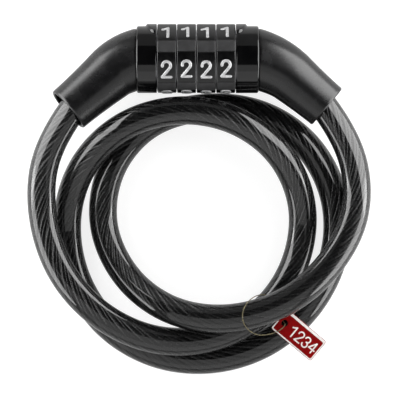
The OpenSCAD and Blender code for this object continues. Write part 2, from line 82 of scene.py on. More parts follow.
def soft_box(name, edge_a, edge_b, middle, half, along, radiance, shape="RECTANGLE", turn=0.0):
    """Area lamp whose two long edges run along an axis through edge_a and edge_b, given across that axis as
    (sideways, z). middle and half are the place and half length along the axis. It shines towards the object, and
    is turned in its own plane by turn degrees, which takes its near end down and its far end up."""
    a, b = np.array(edge_a, float), np.array(edge_b, float)
    centre = (a + b) / 2
    width = float(np.linalg.norm(b - a))
    side = (b - a) / width
    if along == "y":
        place = np.array([centre[0], middle, centre[1]])
        x_axis, y_axis = np.array([side[0], 0, side[1]]), np.array([0.0, 1.0, 0.0])
    else:
        place = np.array([middle, centre[0], centre[1]])
        x_axis, y_axis = np.array([0, side[0], side[1]]), np.array([1.0, 0.0, 0.0])
    z_axis = np.cross(x_axis, y_axis)
    if np.dot(z_axis, COIL_MIDDLE - place) > 0:
        y_axis, z_axis = -y_axis, -z_axis
    lean = math.radians(turn) * (1 if y_axis[1] > 0 else -1)
    c, s = math.cos(lean), math.sin(lean)
    data = bpy.data.lights.new(name, "AREA")
    data.shape = shape
    data.size, data.size_y = width * MM, 2 * half * MM
    data.energy = radiance * math.pi * data.size * data.size_y * (1 if shape == "RECTANGLE" else math.pi / 4)
    matrix = np.eye(4)
    matrix[:3] = np.stack([x_axis * c + y_axis * s, y_axis * c - x_axis * s, z_axis, place * MM], -1)
    lamp = bpy.data.objects.new(name, data)
    lamp.matrix_world = Matrix(matrix.tolist())
    lamp.visible_camera = False
    bpy.context.scene.collection.objects.link(lamp)


def make_lights():
    """Two soft boxes to the left and right, an oval one below each, and a large dim one on the coil's side."""
    for name, s in (("left", -1), ("right", 1)):
        soft_box(f"box_{name}", (131 * s, 134), (278 * s, 0), 94, 144, "y", 6.3, turn=-20)
        soft_box(f"strip_{name}", (166 * s, 108), (262 * s, 10), -128, 112, "y", 5.4, "ELLIPSE")
    soft_box("box_front", (-100, 285), (-330, 60), 0, 190, "x", 0.75)
    world = bpy.data.worlds.new("room")
    world.use_nodes = True
    sky = world.node_tree.nodes["Background"].inputs
    sky["Color"].default_value, sky["Strength"].default_value = (1, 1, 1, 1), ROOM_LIGHT
    bpy.context.scene.world = world
    bpy.context.scene.view_settings.view_transform = "Standard"


# ---------------------------------------------------------------- mesh tools

def quads(rows, columns, close_rows, close_columns):
    """Quads of a grid whose vertex (i, j) has the number i * columns + j."""
    i = np.arange(rows if close_rows else rows - 1)[:, None]
    j = np.arange(columns if close_columns else columns - 1)[None, :]
    i2, j2 = (i + 1) % rows, (j + 1) % columns
    return np.stack([i * columns + j, i2 * columns + j, i2 * columns + j2, i * columns + j2], -1).reshape(-1, 4)


def outward(points, faces):
    """The faces, turned round if the closed surface's signed volume is negative."""
    p = points - points.mean(0)
    a, b, c = p[faces[:, 0]], p[faces[:, 1]], p[faces[:, 2]]
    volume = np.einsum("ij,ij->i", a, np.cross(b, c)).sum()
    if faces.shape[1] == 4:
        d = p[faces[:, 3]]
        volume += np.einsum("ij,ij->i", a, np.cross(c, d)).sum()
    return faces[:, ::-1] if volume < 0 else faces


def facing_out(points, body, caps):
    """A tube's faces and its caps, both turned round if together they enclose a negative volume."""
    p = points - points.mean(0)
    volume = np.einsum("ij,ij->i", p[caps[:, 0]], np.cross(p[caps[:, 1]], p[caps[:, 2]])).sum()
    for k in (1, 2):
        volume += np.einsum("ij,ij->i", p[body[:, 0]], np.cross(p[body[:, k]], p[body[:, k + 1]])).sum()
    return (body[:, ::-1], caps[:, ::-1]) if volume < 0 else (body, caps)


def add_mesh(name, points, face_sets, materials, crease=35.0):
    """One object in metres from points in millimetres. face_sets holds pairs (faces, material number)."""
    mesh = bpy.data.meshes.new(name)
    faces = [face for group, _ in face_sets for face in np.asarray(group).tolist()]
    mesh.from_pydata((np.asarray(points) * MM).tolist(), [], faces)
    for material in materials:
        mesh.materials.append(material)
    numbers = np.concatenate([np.full(len(group), number) for group, number in face_sets]).astype(np.int32)
    mesh.polygons.foreach_set("material_index", numbers)
    mesh.polygons.foreach_set("use_smooth", np.ones(len(faces), bool))
    mesh.set_sharp_from_angle(angle=math.radians(crease))
    mesh.validate()
    mesh.update()
    piece = bpy.data.objects.new(name, mesh)
    bpy.context.scene.collection.objects.link(piece)
    return piece


def tube_faces(rows, columns):
    """Faces of a closed tube with both ends capped by fans to two more vertices, numbered after the grid's."""
    j = np.arange(columns)
    after, end = (j + 1) % columns, (rows - 1) * columns
    cap_a = np.stack([np.full(columns, rows * columns), j, after], -1)
    cap_b = np.stack([np.full(columns, rows * columns + 1), end + after, end + j], -1)
    return quads(rows, columns, False, True), np.concatenate([cap_a, cap_b])


def runs(path):
    """Each point's distance from the first, along the path."""
    return np.concatenate([[0], np.cumsum(np.linalg.norm(np.diff(path, axis=0), axis=1))])


def by_length(path, step):
    """The path with points at equal distances of about one step."""
    run = runs(path)
    at = np.linspace(0, run[-1], max(2, int(round(run[-1] / step)) + 1))
    return np.stack([np.interp(at, run, path[:, k]) for k in range(3)], -1)


def normals_along(path):
    """Two normals carried along the path without twist: each next normal is the last one with its part along the
    new tangent taken out, and the second is square to both."""
    tangent = np.gradient(path, axis=0)
    tangent /= np.linalg.norm(tangent, axis=1)[:, None]
    normal = np.zeros_like(path)
    last = np.array([0.0, 0.0, 1.0])
    for k in range(len(path)):
        last = last - tangent[k] * np.dot(last, tangent[k])
        last = last / np.linalg.norm(last)
        normal[k] = last
    return normal, np.cross(tangent, normal)


def swept(path, radius, columns, twist=0.0):
    """Tube surface: the point at distance s and angle a is the path's point plus radius(s, a) in the direction a of
    the ring, which turns by twist radians a millimetre. After the grid's points come the path's two ends."""
    run = runs(path)[:, None]
    n, b = normals_along(path)
    a = (np.arange(columns) / columns * 2 * math.pi)[None, :]
    r = radius(run, a) * np.ones((len(path), columns))
    angle = a + twist * run
    ring = (path[:, None, :] + (r * np.cos(angle))[..., None] * n[:, None, :]
            + (r * np.sin(angle))[..., None] * b[:, None, :])
    return np.concatenate([ring.reshape(-1, 3), path[:1], path[-1:]])


def add_tube(name, path, radius, columns, material, twist=0.0, crease=35.0):
    """A closed swept tube as one object, with its faces and its caps."""
    points = swept(path, radius, columns, twist)
    body, caps = facing_out(points, *tube_faces(len(path), columns))
    return add_mesh(name, points, [(body, 0), (caps, 0)], [material], crease), body, caps


# ---------------------------------------------------------------- materials

def new_material(name):
    material = bpy.data.materials.new(name)
    material.use_nodes = True
    return material, material.node_tree, material.node_tree.nodes["Principled BSDF"]


def new_group(name, inputs, outputs):
    """Empty node group with plain numbers in and out: the group, its input sockets and its output node."""
    group = bpy.data.node_groups.new(name, "ShaderNodeTree")
    for way, names in (("INPUT", inputs), ("OUTPUT", outputs)):
        for each in names:
            group.interface.new_socket(name=each, in_out=way, socket_type="NodeSocketFloat")
    return group, group.nodes.new("NodeGroupInput").outputs, group.nodes.new("NodeGroupOutput")


def fill(tree, node, inputs):
    """Each of the node's inputs, by name or number, is linked where a socket is given and set where a value is."""
    for key, value in inputs.items():
        if isinstance(value, bpy.types.NodeSocket):
            tree.links.new(value, node.inputs[key])
        else:
            node.inputs[key].default_value = value
    return node


def add_node(tree, kind, inputs):
    return fill(tree, tree.nodes.new(kind), inputs)


def compute(tree, operation, *values):
    node = tree.nodes.new("ShaderNodeMath")
    node.operation = operation
    return fill(tree, node, dict(enumerate(values))).outputs[0]


def use_group(tree, group, inputs):
    node = tree.nodes.new("ShaderNodeGroup")
    node.node_tree = group
    return fill(tree, node, inputs).outputs


def spread(tree, value, low, high, to_low, to_high):
    """The value, carried in proportion from the range low to high to the range to_low to to_high."""
    limits = {"From Min": low, "From Max": high, "To Min": to_low, "To Max": to_high}
    return add_node(tree, "ShaderNodeMapRange", {"Value": value, **limits}).outputs["Result"]


def between(tree, value, low, high, dark, light):
    """Colour that goes from dark where the value is low to light where it is high."""
    ramp = tree.nodes.new("ShaderNodeValToRGB")
    first, last = ramp.color_ramp.elements[0], ramp.color_ramp.elements[1]
    first.position, last.position = low, high
    first.color, last.color = (*dark, 1), (*light, 1)
    return fill(tree, ramp, {"Fac": value}).outputs["Color"]


def relief(tree, height, strength, distance):
    return add_node(tree, "ShaderNodeBump", {"Height": height, "Strength": strength, "Distance": distance}).outputs[0]


def grain_group():
    """Node group: two scales of noise in object space, the coarse one as a mask and the fine one as a height."""
    group, give, take = new_group("surface_grain", ("Fine", "Coarse"), ("Mask", "Height"))
    place = group.nodes.new("ShaderNodeTexCoord").outputs["Object"]
    for scale, detail, result in (("Fine", 2.0, "Height"), ("Coarse", 4.0, "Mask")):
        noise = add_node(group, "ShaderNodeTexNoise", {"Vector": place, "Scale": give[scale], "Detail": detail})
        group.links.new(noise.outputs["Fac"], take.inputs[result])
    return group


GRAIN = grain_group()
GRAIN_DEPTH = 0.00002       # metres


def grained(name, dark, light, rough, fine, coarse, bump, metallic=0.0, gloss=0.5):
    """Material whose colour and roughness wander between two values with the coarse noise, with a fine bump."""
    material, tree, shader = new_material(name)
    grain = use_group(tree, GRAIN, {"Fine": fine, "Coarse": coarse})
    fill(tree, shader, {
        "Base Color": between(tree, grain["Mask"], 0.35, 0.65, dark, light),
        "Roughness": spread(tree, grain["Mask"], 0.3, 0.7, *rough),
        "Normal": relief(tree, grain["Height"], bump, GRAIN_DEPTH),
        "Metallic": metallic, "Specular IOR Level": gloss})
    return material


def wires_group():
    """Node group: height of round wires side by side. The phase in turns times the number of wires gives each wire's
    own share, from minus one to one, and the height is the square root of one less cut times the share squared."""
    group, give, take = new_group("laid_wires", ("Phase", "Wires", "Cut"), ("Height",))
    own = compute(group, "FRACT", compute(group, "MULTIPLY", give["Phase"], give["Wires"]))
    share = compute(group, "MULTIPLY_ADD", own, 2.0, -1.0)
    fall = compute(group, "MULTIPLY", compute(group, "MULTIPLY", share, share), give["Cut"])
    height = compute(group, "SQRT", compute(group, "MAXIMUM", compute(group, "SUBTRACT", 1.0, fall), 0.0))
    group.links.new(height, take.inputs["Height"])
    return group


FINE_WIRES = 0.45           # share of the fine wires' height in the relief
WIRE_DEPTH = 0.0007         # metres


def smoky_jacket():
    """Glossy smoky jacket over the strand: a smooth clear coat over a dark layer whose relief follows nine strands of
    two wires each, laid in a right-hand helix of LAY millimetres. The layer's colour is lighter on the wires' crests
    and darker in the grooves between them: a painted highlight on the crests and painted shade in the grooves."""
    material, tree, shader = new_material("smoky_jacket_over_strand")
    place = tree.nodes.new("ShaderNodeUVMap")
    place.uv_map = "lay"
    lay = add_node(tree, "ShaderNodeSeparateXYZ", {0: place.outputs["UV"]}).outputs
    phase = compute(tree, "SUBTRACT", lay["Y"], lay["X"])
    group = wires_group()
    strands, wires = [use_group(tree, group, {"Phase": phase, "Wires": count, "Cut": cut})["Height"]
                      for count, cut in ((9.0, 0.85), (18.0, 0.97))]
    height = compute(tree, "MULTIPLY_ADD", wires, FINE_WIRES, strands)
    highest = 1 + FINE_WIRES
    # painted highlight and shade: the base colour below is lighter on the wires' crests and darker in the grooves
    # between them
    painted_wire_shading = compute(tree, "MULTIPLY", height, 1 / highest)
    grain = use_group(tree, GRAIN, {"Fine": 1400.0, "Coarse": 420.0})
    fill(tree, shader, {
        "Base Color": between(tree, painted_wire_shading, 0.55, 1.4 / highest, (0.0003, 0.0003, 0.0003), (0.003, 0.003, 0.0032)),
        "Roughness": spread(tree, grain["Mask"], 0.35, 0.65, 0.16, 0.34),
        "Normal": relief(tree, height, 1.0, WIRE_DEPTH),
        "Specular IOR Level": 0.2, "Coat Weight": 1.0, "Coat Roughness": 0.03, "Coat IOR": 1.5})
    return material


GLOSS_BLACK = grained("gloss_black_plastic", (0.0012, 0.0012, 0.0014), (0.0022, 0.0022, 0.0024),
                      (0.05, 0.12), 3000, 180, 0.02)
DIAL_BLACK = grained("dial_black_plastic", (0.002, 0.002, 0.0022), (0.004, 0.004, 0.0042),
                     (0.13, 0.22), 5000, 300, 0.06, gloss=0.4)
GRIP_BLACK = grained("matte_grip_plastic", (0.013, 0.013, 0.0135), (0.021, 0.021, 0.022),
                     (0.5, 0.62), 6000, 400, 0.35)
SATIN_BLACK = grained("satin_black_plastic", (0.003, 0.003, 0.0032), (0.006, 0.006, 0.0064),
                      (0.23, 0.3), 5200, 160, 0.3)
STRAND_BLACK = grained("oiled_black_strand", (0.0006, 0.0006, 0.0006), (0.002, 0.002, 0.0021),
                       (0.1, 0.16), 2600, 700, 0.1, gloss=0.4)
SILVER = grained("silver_paint", (0.42, 0.42, 0.425), (0.62, 0.62, 0.625),
                 (0.28, 0.42), 5000, 700, 0.3, metallic=0.35)
STEEL = grained("machined_steel", (0.50, 0.50, 0.51), (0.62, 0.62, 0.63),
                (0.22, 0.36), 4200, 260, 0.25, metallic=1.0)
ALLOY = grained("cast_alloy", (0.42, 0.42, 0.43), (0.55, 0.55, 0.56),
                (0.4, 0.55), 2400, 300, 0.5, metallic=1.0)
SPRING_STEEL = grained("spring_steel", (0.30, 0.30, 0.32), (0.42, 0.42, 0.44),
                       (0.25, 0.4), 5200, 400, 0.2, metallic=1.0)
TAG_RED = grained("tag_red_card", (0.17, 0.0004, 0.0008), (0.23, 0.0009, 0.0014),
                  (0.35, 0.5), 3500, 300, 0.2, gloss=0.08)
TAG_WHITE = grained("tag_white_print", (0.72, 0.68, 0.65), (0.88, 0.85, 0.82),
                    (0.4, 0.5), 4000, 500, 0.2, gloss=0.2)
THREAD_OLIVE = grained("waxed_olive_thread", (0.05, 0.042, 0.016), (0.17, 0.14, 0.06),
                       (0.5, 0.7), 6000, 900, 0.6)
JACKET = smoky_jacket()


# ---------------------------------------------------------------- sleeves' frames

LEAVE = math.radians(15)
HEAD_R, MOUTH_R, WALL, TAPER = 13.3, 10.0, 1.4, 1.6


class Side:
    """One end of the head: its sleeve leaves the face along an arc and then runs straight."""

    def __init__(self, face, bend, run, angle, tilt, sign):
        self.face, self.bend, self.run, self.sign = face, bend, run, sign
        self.angle, self.tilt = math.radians(angle), math.radians(tilt)
        self.arc = bend * (self.angle - LEAVE)
        self.length = self.arc + run
        mouth = self.middle(np.array([self.length]))[0]
        self.elbow = mouth[0] + mouth[1] / math.tan(self.angle)
        self.mouth_l = -mouth[1] / math.sin(self.angle)

    def middle(self, q):
        """Middle line: an arc of the bend's radius from the leaving angle, then a straight at the final angle."""
        a = np.where(q < self.arc, LEAVE + q / self.bend, self.angle)
        straight = np.maximum(0, q - self.arc)
        return np.stack([self.bend * (np.sin(a) - math.sin(LEAVE)) + straight * np.cos(a),
                         -self.bend * (math.cos(LEAVE) - np.cos(a)) - straight * np.sin(a), 0 * q], -1)

    def radius(self, q):
        return MOUTH_R + (HEAD_R - MOUTH_R) * np.power(np.maximum(0, 1 - q / self.length), TAPER)

    def ring_slope(self, q):
        return self.angle * np.minimum(1, q / self.arc)

    def place(self, p):
        """From the side's own frame, by its tilt about X and its place on the axis, to the shared frame."""
        c, s = math.cos(self.tilt), math.sin(self.tilt)
        return HEAD + np.stack([self.sign * (self.face + p[..., 0]), p[..., 1] * c + p[..., 2] * s,
                                AXIS_Z + p[..., 2] * c - p[..., 1] * s], -1)

    def run_point(self, l):
        return self.place(np.array([self.elbow + l * math.cos(self.angle), -l * math.sin(self.angle), 0.0]))


LEFT = Side(face=LEFT_FACE, bend=26, run=24.7, angle=42, tilt=14, sign=-1)
RIGHT = Side(face=RIGHT_FACE, bend=36, run=20, angle=40, tilt=0, sign=1)


# ---------------------------------------------------------------- cable

LOW = CABLE_R               # height of the turns that lie on the table
ROUTE = np.array([
    [-64, -43, 17.5], [-65, -67.5, 16.5], [-56.5, -91, 18.5], [-39.5, -109, 19], [-16.5, -119, 17.5],
    [7.5, -118, 14.2], [28.5, -107, 11], [42, -87.5, 7.5], [45.5, -63, 8], [36, -40.5, 13.5],
    [17, -26, 17.5], [-7, -21.5, 18.5], [-30.5, -28, 17.5], [-48, -44.5, 12.5], [-55.5, -67.5, LOW],
    [-52, -92, LOW], [-39, -112.5, LOW], [-17.5, -125.5, LOW], [7, -128, LOW], [30.5, -120.5, LOW],
    [49, -104, LOW], [59.5, -81.5, LOW], [59, -57.5, LOW], [47.5, -36, LOW], [27, -22.5, LOW],
    [2, -20, LOW], [-21, -27.5, LOW], [-36.5, -46, LOW], [-40, -70, LOW], [-30, -92, 11],
    [-11, -106, 19.5], [12.5, -109.5, 25], [36.5, -103, 24.5], [55.5, -87.5, 21.5], [67, -66.5, 17],
    [66.5, -42.5, 15]]) + HEAD
SOCKET, STRAIGHT_END, FERRULE_L = 14.1, 27.0, 10.2      # distances along the cable from each elbow's corner
SPREAD, REACH = 5.0, 20                                 # the route is evened over this many millimetres


def smooth_route(points, steps):
    """Catmull-Rom curve with centripetal knots: between two points, a cubic that leaves each along the weighted
    mean of the directions on its two sides. The first and last points only steer."""
    pieces = []
    for a, b, c, d in zip(points[:-3], points[1:-2], points[2:-1], points[3:]):
        u, v, w = (math.sqrt(np.linalg.norm(q - p)) for p, q in ((a, b), (b, c), (c, d)))
        m = v * ((b - a) / u - (c - a) / (u + v) + (c - b) / v)
        n = v * ((c - b) / v - (d - b) / (v + w) + (d - c) / w)
        f = (np.arange(steps) / steps)[:, None]
        e = 1 - f
        pieces.append(b * (1 + 2 * f) * e ** 2 + m * f * e ** 2 + c * f ** 2 * (3 - 2 * f) - n * f ** 2 * e)
    return np.concatenate(pieces + [points[-2:-1]])


def cable_line(start):
    """The cable's middle line from one socket to the other: straight out of each sleeve, and evened between by the
    weighted mean over a bell curve."""
    route = np.concatenate([[LEFT.run_point(SOCKET), LEFT.run_point(STRAIGHT_END)], ROUTE,
                            [RIGHT.run_point(STRAIGHT_END), RIGHT.run_point(SOCKET)]])
    curve = by_length(smooth_route(route, 24), 1.0)
    weight = np.exp(-0.5 * (np.arange(-REACH, REACH + 1) / SPREAD) ** 2)
    weight /= weight.sum()
    before = curve[0] - (curve[1] - curve[0]) * np.arange(REACH, 0, -1)[:, None]
    after = curve[-1] + (curve[-1] - curve[-2]) * np.arange(1, REACH + 1)[:, None]
    padded = np.concatenate([before, curve, after])
    even = np.stack([np.convolve(padded[:, c], weight, "valid") for c in range(3)], -1)
    left, right = LEFT.run_point(start), RIGHT.run_point(start)
    lead_in = left + (even[0] - left) * np.linspace(0, 1, 12, endpoint=False)[:, None]
    lead_out = even[-1] + (right - even[-1]) * np.linspace(0, 1, 13)[1:, None]
    return np.concatenate([lead_in, even, lead_out])


def follow_plug(piece):
    """Bakes the piece's placement into its mesh."""
    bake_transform(piece)


def strand_radius(s, a):
    """Twenty-two round wires laid round a heart: the outline is a ring of arcs with deep grooves between them, and
    every second wire stands a little lower."""
    share = np.mod(a * WIRES / (2 * math.pi), 1.0) * 2 - 1
    wire = np.sqrt(np.maximum(0.0, 1 - share ** 2 * 0.98))
    lower = 0.09 * (1 + np.cos(a * WIRES / 2))
    return 3.05 + 0.62 * wire - lower + 0 * s


def add_lay(jacket, body, caps, rows, length):
    """UV layer of the jacket: turns of the strand's lay along it, and the share of a turn round it."""
    turns, columns = length / LAY, JACKET_COLUMNS
    along = np.linspace(0, turns, rows)[:-1, None, None] + (turns / (rows - 1)) * np.array([0, 1, 1, 0])
    around = (np.arange(columns)[None, :, None] + np.array([0, 0, 1, 1])) / columns
    corner = np.stack(np.broadcast_arrays(along, around), -1).reshape(-1, 4, 2)
    if not np.array_equal(body[0], quads(rows, columns, False, True)[0]):
        corner = corner[:, ::-1]
    uv = np.concatenate([corner.reshape(-1), np.zeros(caps.size * 2)])
    jacket.data.uv_layers.new(name="lay").data.foreach_set("uv", uv.astype(np.float32))


def make_cable():
    line = by_length(cable_line(SOCKET), 1.25)
    length = float(runs(line)[-1])
    jacket, body, caps = add_tube("cable_sheath", line, lambda s, a: CABLE_R + 0 * s, JACKET_COLUMNS, JACKET)
    add_lay(jacket, body, caps, len(line), length)
    core_line = by_length(cable_line(SOCKET - FERRULE_L), 3.1)
    core, _, _ = add_tube("cable_strand", core_line, strand_radius, STRAND_COLUMNS, STRAND_BLACK,
                          twist=2 * math.pi / LAY, crease=80)
    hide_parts("cable_jacket")
    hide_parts("cable_core")
    follow_plug(jacket)
    follow_plug(core)


# ---------------------------------------------------------------- sleeves

MOULD_AT = (155, 335)                       # degrees round the sleeve
MOULD_STEPS = np.array([-1.6, -0.8, 0.8, 1.6])
END_WALL, END_WALL_R = 1.8, 11.4


def make_sleeve(name, side, node):
    """Bent tapering shell: rings of the sleeve's radius stand square to its middle line, run down the outside, turn
    over a rounded lip at the mouth and come back inside the wall. A shallow line is sunk along the mould's joint."""
    length = side.length
    q_out = np.concatenate([[0.0, 0.12, 0.35], np.linspace(0.7, length - 0.7, 70),
                            length - np.array([0.45, 0.2, 0.05])])
    shrink = np.zeros_like(q_out)
    shrink[:3] = [0.55, 0.25, 0.08]
    shrink[-3:] = [0.08, 0.25, 0.5]
    q_in = np.concatenate([length - np.array([0.05, 0.2, 0.5]), np.linspace(length - 1.0, 4.0, 40)])
    inner = np.full_like(q_in, WALL)
    inner[:3] = [0.95, 1.2, 1.35]
    q = np.concatenate([q_out, q_in])
    outside = np.concatenate([np.ones(len(q_out)), np.zeros(len(q_in))])
    a = np.sort(np.concatenate([np.arange(0, 360, 3.75)] + [at + MOULD_STEPS for at in MOULD_AT]))
    for at in MOULD_AT:
        a = a[np.abs(a - (at - 1.25)) > 0.1]
    near = np.minimum(np.abs(a - MOULD_AT[0]), np.abs(a - MOULD_AT[1]))
    groove = 0.26 * np.clip(1.5 - near, 0, 1)
    a = np.radians(a)
    b, c = side.ring_slope(q)[:, None], side.middle(q)
    r = (side.radius(q) - np.concatenate([shrink, inner]))[:, None] - outside[:, None] * groove[None, :]
    shell = np.stack([c[:, 0:1] + r * np.cos(a) * np.sin(b), c[:, 1:2] + r * np.cos(a) * np.cos(b),
                      r * np.sin(a) + 0 * b], -1)
    # the end wall's inner face, the hole through it and the face at the head
    flat = [np.stack([0 * a + x, radius * np.cos(a), radius * np.sin(a)], -1)[None]
            for x, radius in ((END_WALL, END_WALL_R), (END_WALL, BORE_R), (0.0, BORE_R))]
    rings = np.concatenate([shell] + flat)
    points = side.place(rings.reshape(-1, 3))
    faces = outward(points, quads(len(rings), len(a), True, True))
    piece = add_mesh(name, points, [(faces, 0)], [SATIN_BLACK], crease=40)
    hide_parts(node)
    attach(piece, "lock_body" if side.sign < 0 else "plug")


# ---------------------------------------------------------------- head

def about_axis(x, r, turn):
    """Points of a turned surface: turn is counted about the head's axis from straight up towards +Y."""
    return HEAD + np.stack([x + 0 * r, r * np.sin(turn), AXIS_Z + r * np.cos(turn)], -1)


FAR_ROUND, DIAL_ROUND = 0.8, 0.4            # the collars' rounded rims
MARK_L, MARK_DEPTH, MARK_H = math.radians(44), 4.7, 0.95


def make_collar(name, x_far, x_dial, node, body, recess=()):
    """Turned ring with rounded rims. In the face at the dials is a hollow where one is given, as its radius and the
    x of its floor. On the rim at the dials stands a raised half oval: the surface rises where the square of the turn
    over MARK_L and the square of the distance from the rim over MARK_DEPTH add up to less than one."""
    way = 1.0 if x_dial > x_far else -1.0
    width = abs(x_dial - x_far)
    t = np.radians(np.array([0, 20, 40, 60, 75, 90]))
    d = np.concatenate([FAR_ROUND * (1 - np.cos(t)), np.linspace(FAR_ROUND + 0.3, width - 5.4, 5),
                        np.linspace(width - 5.0, width - DIAL_ROUND, 22),
                        width - DIAL_ROUND + DIAL_ROUND * np.sin(t[1:])])
    drop = np.concatenate([FAR_ROUND * (1 - np.sin(t)), np.zeros(5 + 22), DIAL_ROUND * (1 - np.cos(t[1:]))])
    x = x_far + way * d
    turn = np.radians(np.concatenate([np.arange(30, 150, 0.8), np.arange(150, 390, 4.0)]))
    off = np.mod(turn + math.pi / 2, 2 * math.pi) - math.pi
    oval = np.sqrt((off[None, :] / MARK_L) ** 2 + ((width - d[:, None]) / MARK_DEPTH) ** 2)
    r = COLLAR_R - drop[:, None] + MARK_H * np.clip((1.0 - oval) / 0.12, 0, 1) ** 0.7
    bore = [(x[-1], recess[0]), (recess[1], recess[0]), (recess[1], BORE_R)] if recess else [(x[-1], BORE_R)]
    inner = [about_axis(at, np.full(len(turn), radius), turn) for at, radius in bore + [(x[0], BORE_R)]]
    points = np.concatenate([about_axis(x[:, None], r, turn[None, :] + 0 * r), inner]).reshape(-1, 3)
    faces = outward(points, quads(len(d) + len(inner), len(turn), True, True))
    piece = add_mesh(name, points, [(faces, 0)], [GLOSS_BLACK], crease=40)
    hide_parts(node)
    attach(piece, body)


FACES, FACE_AT, FACE_STEP = 5, 18.0, 72.0       # the first face leans FACE_AT degrees towards the coil
FACE_EDGE = FACE_STEP / 2 - 9.6                 # half the angle of a number face between two grip bands
CROWN_R, CROWN_AT = 30.0, 14.1
DIGIT_H, TAG_DIGIT_H = 6.75, 4.7


def face_radius(off):
    """Distance from the axis of a crowned face: the arc of radius CROWN_R whose top is CROWN_AT from the axis,
    met by the ray that is off radians from the face's middle."""
    r = np.full_like(off, 14.4)
    for _ in range(12):
        r = (CROWN_AT - CROWN_R + np.sqrt(CROWN_R ** 2 - (r * np.sin(off)) ** 2)) / np.cos(off)
    return r


def dial_profile(lean):
    """Radius at a lean angle in degrees from straight up towards the coil, and whether it is in a grip band."""
    off = np.mod(lean - FACE_AT + FACE_STEP / 2, FACE_STEP) - FACE_STEP / 2
    band = np.clip((np.abs(off) - FACE_EDGE) / 0.5, 0, 1)
    face = face_radius(np.radians(np.clip(off, -FACE_EDGE - 0.5, FACE_EDGE + 0.5)))
    return face + (DIAL_R - face) * band, band > 0.5


STROKES = {
    1: [[(-0.26, 0.27), (-0.1, 0.35), (0.08, 0.5)], [(0.08, 0.5), (0.08, -0.5)]],
    2: [("arc", 0.0, 0.245, 0.255, 188, -38), [(0.2, 0.09), (-0.27, -0.49)], [(-0.27, -0.5), (0.28, -0.5)]],
    3: [("arc", 0.0, 0.25, 0.245, 175, -90), ("arc", 0.0, -0.25, 0.255, 90, -175)],
    4: [[(0.12, 0.5), (-0.3, -0.18)], [(-0.3, -0.18), (0.32, -0.18)], [(0.14, 0.5), (0.14, -0.5)]],
    5: [[(0.24, 0.5), (-0.2, 0.5)], [(-0.2, 0.5), (-0.24, 0.05)], ("arc", -0.01, -0.2, 0.29, 135, -150)],
}


def stroke_line(stroke):
    """Points of a stroke's middle line, in shares of the digit's height. An arc is given by its centre, its radius
    and its first and last angle in degrees."""
    if stroke[0] == "arc":
        _, x, y, r, start, end = stroke
        t = np.radians(np.linspace(start, end, 26))
        return np.stack([x + r * np.cos(t), y + r * np.sin(t)], -1)
    corner = np.array(stroke, float)
    run = runs(corner)
    at = np.linspace(0, run[-1], max(8, int(run[-1] * 26)))
    return np.stack([np.interp(at, run, corner[:, 0]), np.interp(at, run, corner[:, 1])], -1)


def ridge(line, half_width, height):
    """Raised stroke on a plane: across it, the height follows an arch, and its ends are round. Returns points
    (across, up the digit, height), faces and caps, closed below."""
    first, last = line[1] - line[0], line[-1] - line[-2]
    first, last = first / np.linalg.norm(first), last / np.linalg.norm(last)
    t = np.radians(np.array([90, 70, 50, 30, 15]))
    head = line[0] - first * half_width * np.sin(t)[:, None]
    tail = (line[-1] + last * half_width * np.sin(t)[:, None])[::-1]
    way = np.gradient(line, axis=0)
    way /= np.linalg.norm(way, axis=1)[:, None]
    centre = np.concatenate([head, line, tail])
    way = np.concatenate([np.repeat(first[None], len(t), 0), way, np.repeat(last[None], len(t), 0)])
    grow = np.maximum(np.concatenate([np.cos(t), np.ones(len(line)), np.cos(t)[::-1]]), 0.02)
    side = np.stack([-way[:, 1], way[:, 0]], -1)
    a = np.radians(np.array([180, 165, 140, 115, 90, 65, 40, 15, 0]))
    across = half_width * np.cos(a)[None, :] * grow[:, None]
    up = height * np.power(np.sin(a), 0.7)[None, :] * np.power(grow, 0.7)[:, None]
    grid = np.concatenate([centre[:, None, :] + across[..., None] * side[:, None, :], up[..., None]], -1)
    below = np.concatenate([centre[:, None, :], np.full((len(centre), 1, 1), -0.25)], -1)
    grid = np.concatenate([grid, below], 1)
    points = np.concatenate([grid.reshape(-1, 3), [[*centre[0], 0.0]], [[*centre[-1], 0.0]]])
    return (points, *facing_out(points, *tube_faces(*grid.shape[:2])))


def add_ridges(name, ridges, material):
    """One object from a list of ridges, each given as its points, faces and caps."""
    starts = np.cumsum([0] + [len(points) for points, _, _ in ridges])
    body, caps = [np.concatenate([each[k] + start for each, start in zip(ridges, starts)]) for k in (1, 2)]
    points = np.concatenate([points for points, _, _ in ridges])
    return add_mesh(name, points, [(body, 0), (caps, 0)], [material], crease=60)


